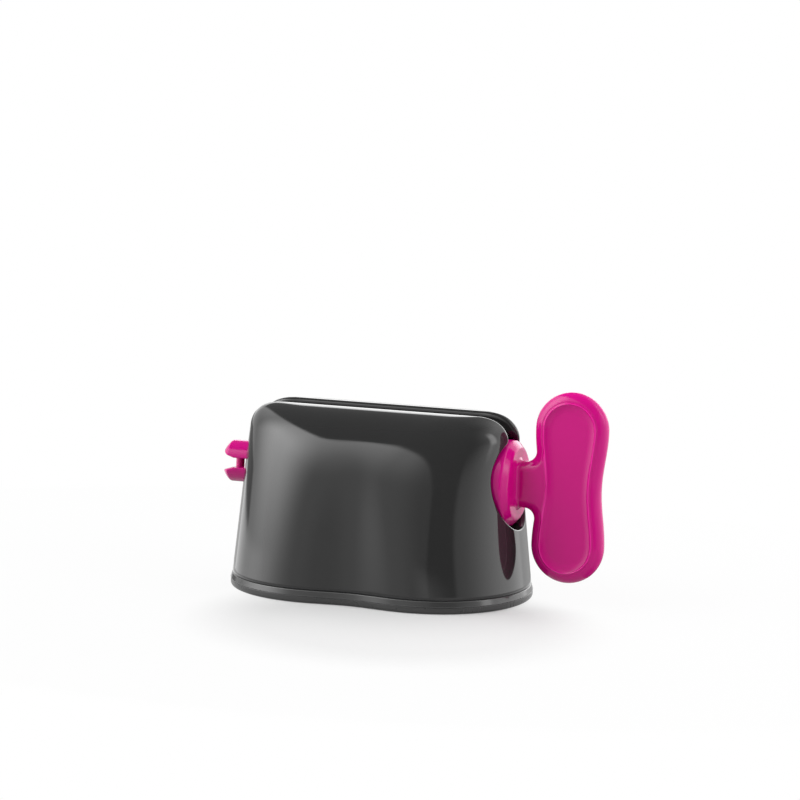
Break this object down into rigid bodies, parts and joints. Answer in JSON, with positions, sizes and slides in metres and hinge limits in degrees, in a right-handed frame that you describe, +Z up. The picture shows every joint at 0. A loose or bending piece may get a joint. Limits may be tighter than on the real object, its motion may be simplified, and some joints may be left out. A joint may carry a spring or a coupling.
{
  "type": "tube squeezer",
  "caption": "Table-top tube squeezer: a domed shell with a long slot for a tube's flat end, and a split winding rod turned by a flat key at its side.",
  "frame": {"origin": "centre of the sole's underside, on the floor", "axes": "+X along the winding key's axis towards the grip, -Y to the front, +Z up"},
  "size_m": [0.0971, 0.0484, 0.0512],
  "materials": {
    "housing": "polished anthracite",
    "base": "polished anthracite",
    "sole": "satin black",
    "screws": "plated",
    "key": "polished magenta"
  },
  "bodies": {
    "housing": {"housing_shell": "housing", "base_plate": "base", "anti_slip_sole": "sole", "base_screw_1": "screws", "base_screw_2": "screws", "base_screw_3": "screws", "base_screw_4": "screws"},
    "key": {"winding_key": "key"}
  },
  "joints": [
    {"name": "key_spin", "type": "hinge", "parent": "housing", "child": "key", "pos_m": [0, 0, 0.0285], "axis": [1, 0, 0], "continuous": true}
  ]
}
